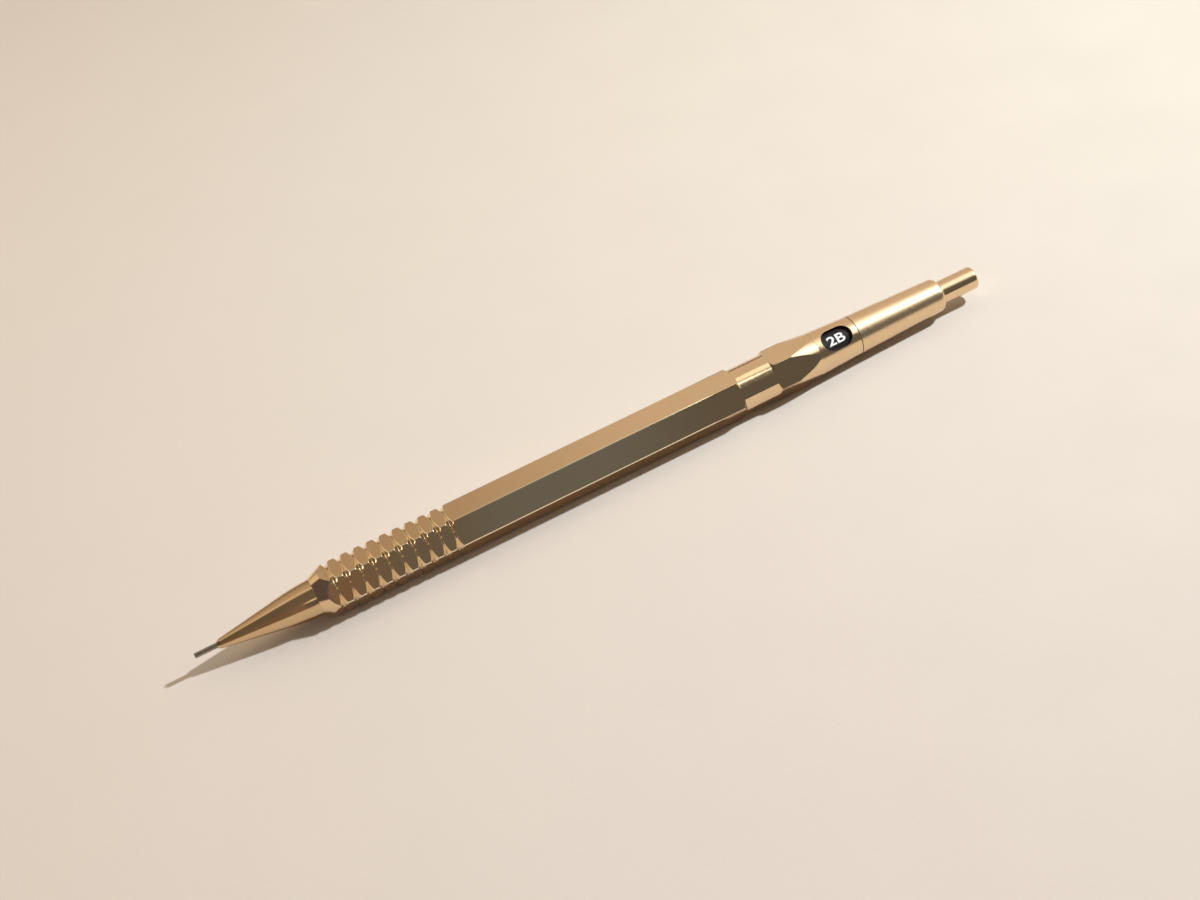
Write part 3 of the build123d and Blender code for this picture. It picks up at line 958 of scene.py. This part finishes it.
def make_table():
    """A plain pale table top, darker towards the near lamp so that it looks evenly lit."""
    bpy.ops.mesh.primitive_circle_add(vertices=96, radius=TABLE_RADIUS, fill_type="NGON")
    table = bpy.context.object
    table.name = "table_top"
    paint = Finish("pale_table")
    cloud = paint.noise(paint.place, scale=60.0, detail=3.0, roughness=0.5)
    away = paint.y.rise(-0.12, 0.24) + cloud.sway(0.2)
    leftward = paint.x.rise(0.26, -0.18)
    viewed = paint.mix(leftward, paint.mix(away, *RIGHT_TONES), paint.mix(away, *LEFT_TONES))
    along = paint.x - LAMP.x
    across = paint.y - LAMP.y
    from_lamp = (along * along + across * across) ** 0.5
    around = paint.node("ValToRGB", {"stops": LAMP_TONES}, {0: from_lamp})
    in_view = paint.x.hump(*VIEW_ALONG) * paint.y.hump(*VIEW_ACROSS)
    grain = paint.noise(paint.place, scale=900.0, detail=2.0, roughness=0.6)
    finish = paint.close(
        base_color=paint.mix(in_view, around, viewed),
        roughness=0.75,
        specular_ior_level=0.1,
        normal=paint.bump(grain, 0.02 * MM),
    )
    table.data.materials.append(finish)


# The room's colours in bands round the pencil: 0 is level in front, 0.5 overhead and 1 level behind
OPEN_SKY = [
    (0.40, (0.54, 0.46, 0.37)),
    (0.75, (0.49, 0.42, 0.345)),
    (1.00, (0.46, 0.37, 0.30)),
]
NEAR_SKY = [
    (0.60, (0.50, 0.42, 0.31)),
    (0.67, (0.36, 0.28, 0.20)),
    (0.75, (0.34, 0.27, 0.20)),
    (0.88, (0.26, 0.20, 0.135)),
    (1.00, (0.11, 0.08, 0.055)),
]
GREY_FRONT = [
    (0.00, (0.095, 0.088, 0.078)),
    (0.08, (0.105, 0.102, 0.095)),
    (0.16, (0.095, 0.085, 0.072)),
    (0.30, (0.130, 0.105, 0.082)),
]
BROWN_FRONT = [
    (0.00, (0.160, 0.106, 0.073)),
    (0.17, (0.145, 0.098, 0.068)),
    (0.26, (0.118, 0.095, 0.075)),
    (0.55, (0.105, 0.085, 0.068)),
]
SOFT_LIGHT = [
    (0.00, (0.13, 0.126, 0.12)),
    (0.38, (0.17, 0.163, 0.155)),
    (0.52, (0.56, 0.46, 0.35)),
    (0.62, (0.91, 0.74, 0.56)),
    (1.00, (0.82, 0.665, 0.50)),
]

# Single things in the room, and what the clip groove mirrors
TIP_SKY = (0.58, 0.48, 0.35, 1.0)
CEILING = (1.0, 1.0, 0.99, 1.0)
DARK_GAP = (0.080, 0.066, 0.068, 1.0)
LIGHT_STRIP = (0.70, 0.60, 0.43, 1.0)
TIP_FRONT = (0.074, 0.061, 0.066, 1.0)
BUTTON_FRONT = (0.087, 0.084, 0.077, 1.0)
SLATE = (0.111, 0.121, 0.126, 1.0)
BRIGHT_WINDOW = (4.0, 3.9, 3.7, 1.0)
BULB = (8.0, 7.7, 7.3, 1.0)
TIP_TINT = (1.16, 1.20, 1.30, 1.0)
CLIP_SHADE = (0.13, 0.10, 0.07, 1.0)
CLIP_CREAM = (1.25, 1.16, 0.95, 1.0)
CLIP_BROWN = (0.36, 0.27, 0.18, 1.0)
CLIP_GLINT = (3.4, 3.3, 3.1, 1.0)
PALE_WALL = (0.80, 0.72, 0.62, 1.0)

# The band at which the front gives way to the sky, and its falls towards the button: (from x, to x, slope)
SKYLINE = 0.5485
SKYLINE_FALLS = ((0.05, 0.30, 0.43), (0.30, 0.415, 0.87), (0.415, 0.445, 2.3))
SKYLINE_TIP_RISE = 0.22
SKYLINE_BLUR = 0.035

SOFT_STRENGTH = 0.93
MIRROR_STRENGTH = 1.5


class Room(Paint):
    """The world: x is a direction's lean towards the button, and turn its band round the pencil."""

    def __init__(self, name):
        world = bpy.data.worlds.new(name)
        bpy.context.scene.world = world
        world.use_nodes = True
        super().__init__(world.node_tree)
        self.x, self.y, self.z = self.axes(self.node("TexCoord", output=0))
        self.turn = self.z.math("ARCTAN2", self.z, self.y * -1.0) / math.pi
        self.rays = self.node("LightPath")

    def banded(self, stops):
        return self.node("ValToRGB", {"stops": stops}, {0: self.turn})


def room_sky(paint):
    """Overhead and behind: brown over the grip, tan towards the button, with a white ceiling at the rear."""
    x, turn = paint.x, paint.turn
    sky = paint.mix(x.rise(0.10, 0.28), paint.banded(NEAR_SKY), paint.banded(OPEN_SKY))
    sky = paint.mix(x.rise(-0.2, -0.5), sky, TIP_SKY)
    return paint.mix(turn.rise(0.66, 0.48) * x.rise(0.22, 0.33), sky, CEILING)


def room_front(paint):
    """In front: brown towards the tip, with a light strip over a dark gap, and grey towards the button."""
    x, turn = paint.x, paint.turn
    above_pads = turn.rise(0.105, 0.120).most(x.rise(0.030, 0.015))
    gap = above_pads * turn.rise(0.180, 0.165) * x.rise(-0.13, -0.06)
    strip = turn.hump(0.172, 0.185, 0.212, 0.228) * x.rise(-0.14, -0.08)
    brown = paint.mix(gap, paint.banded(BROWN_FRONT), DARK_GAP)
    brown = paint.mix(strip, brown, LIGHT_STRIP)
    brown = paint.mix(x.rise(-0.3, -0.5), brown, TIP_FRONT)
    grey = paint.mix(x.rise(0.20, 0.30), paint.banded(GREY_FRONT), BUTTON_FRONT)
    grey = paint.mix(x.hump(0.130, 0.165, 0.225, 0.275), grey, SLATE)
    return paint.mix(x.rise(0.080, 0.090), brown, grey)


def above_skyline(paint):
    """0 in the front, 1 in the sky."""
    skyline = SKYLINE + paint.x.rise(-0.30, -0.65) * SKYLINE_TIP_RISE
    for start, stop, slope in SKYLINE_FALLS:
        skyline = skyline - (paint.x.most(start).least(stop) - start) * slope
    return (paint.turn - skyline).rise(-SKYLINE_BLUR, SKYLINE_BLUR)


def with_clip_bands(paint, room):
    """The room with the bands that the clip groove mirrors."""
    turn = paint.turn
    by_clip = paint.x.near(0.30, 0.030, 0.045)
    bands = (
        (turn.rise(0.86, 0.90), CLIP_SHADE),
        (turn.hump(0.480, 0.495, 0.61, 0.64), CLIP_CREAM),
        (turn.hump(0.440, 0.450, 0.480, 0.490), CLIP_BROWN),
        (turn.near(0.405, 0.010, 0.022), CLIP_GLINT),
    )
    for band, colour in bands:
        room = paint.mix(by_clip * band, room, colour)
    return room


def with_bulb(paint, room):
    """The room with a small bulb that only second reflections show, for the sparkle in the grip grooves."""
    bulb = paint.x.near(0.105, 0.045, 0.065) * paint.turn.near(0.40, 0.025, 0.040)
    second = paint.rays.output("Ray Depth").rise(2.2, 2.8)
    return paint.mix(bulb * second, room, BULB)


def make_room():
    """A warm room that the gold mirrors, soft light for all else, and a pale wall behind the table."""
    paint = Room("room")
    x, y, z = paint.x, paint.y, paint.z
    room = paint.mix(above_skyline(paint), room_front(paint), room_sky(paint))
    by_button = (x * 0.76 - y * 0.12 + z * 0.64).rise(0.965, 0.985)
    room = paint.mix(by_button, room, BRIGHT_WINDOW)
    room = with_clip_bands(paint, room)
    room = with_bulb(paint, room)
    room = paint.mix(x.hump(-0.30, -0.24, 0.025, 0.050), room, TIP_TINT, blend="MULTIPLY")
    soft = paint.node("Background", None, {0: paint.banded(SOFT_LIGHT), 1: SOFT_STRENGTH})
    mirrored = paint.node("Background", None, {0: room, 1: MIRROR_STRENGTH})
    wall = paint.node("Background", None, {0: PALE_WALL, 1: 1.0})
    glossy, seen = paint.rays.output("Is Glossy Ray"), paint.rays.output("Is Camera Ray")
    light = paint.node("MixShader", None, {0: glossy, 1: soft, 2: mirrored})
    shown = paint.node("MixShader", None, {0: seen, 1: light, 2: wall})
    paint.node("OutputWorld", None, {0: shown})


def make_lamp():
    """A small desk lamp beyond the button, which casts the crisp shadow."""
    light = bpy.data.lights.new("desk_lamp", "POINT")
    light.energy = LAMP_POWER
    light.color = LAMP_COLOUR
    light.shadow_soft_size = LAMP_RADIUS
    lamp = bpy.data.objects.new("desk_lamp", light)
    lamp.location = LAMP
    bpy.context.scene.collection.objects.link(lamp)


# The photograph's view, in degrees and millimetres
VIEW_TURN = -16.879
VIEW_LIFT = 41.482
VIEW_ROLL = -14.559
VIEW_DISTANCE = 309.557
VIEW_RIGHT = -1.300
VIEW_UP = 3.860
VIEW_HEIGHT = 0.105
VIEW_LENS = 56.346


def make_camera():
    """The photograph's view, from the tip's side and above, rolled so that the pencil rises to the right."""
    turn, lift, roll = (math.radians(angle) for angle in (VIEW_TURN, VIEW_LIFT, VIEW_ROLL))
    back = Vector((
        math.sin(turn) * math.cos(lift),
        -math.cos(turn) * math.cos(lift),
        math.sin(lift),
    ))
    level = Vector((math.cos(turn), math.sin(turn), 0))
    upright = back.cross(level)
    right = level * math.cos(roll) + upright * math.sin(roll)
    up = upright * math.cos(roll) - level * math.sin(roll)
    spot = back * VIEW_DISTANCE + right * VIEW_RIGHT + up * VIEW_UP + Vector((0, 0, VIEW_HEIGHT))
    camera = bpy.data.objects.new("camera", bpy.data.cameras.new("camera"))
    camera.matrix_world = Matrix.Translation(spot * MM) @ Matrix((right, up, back)).transposed().to_4x4()
    camera.data.lens = VIEW_LENS
    camera.data.clip_start = 0.01
    bpy.context.scene.collection.objects.link(camera)
    bpy.context.scene.camera = camera


make_table()
make_room()
make_lamp()
make_camera()
bpy.context.scene.view_settings.view_transform = "Standard"

bpy.context.view_layer.update()
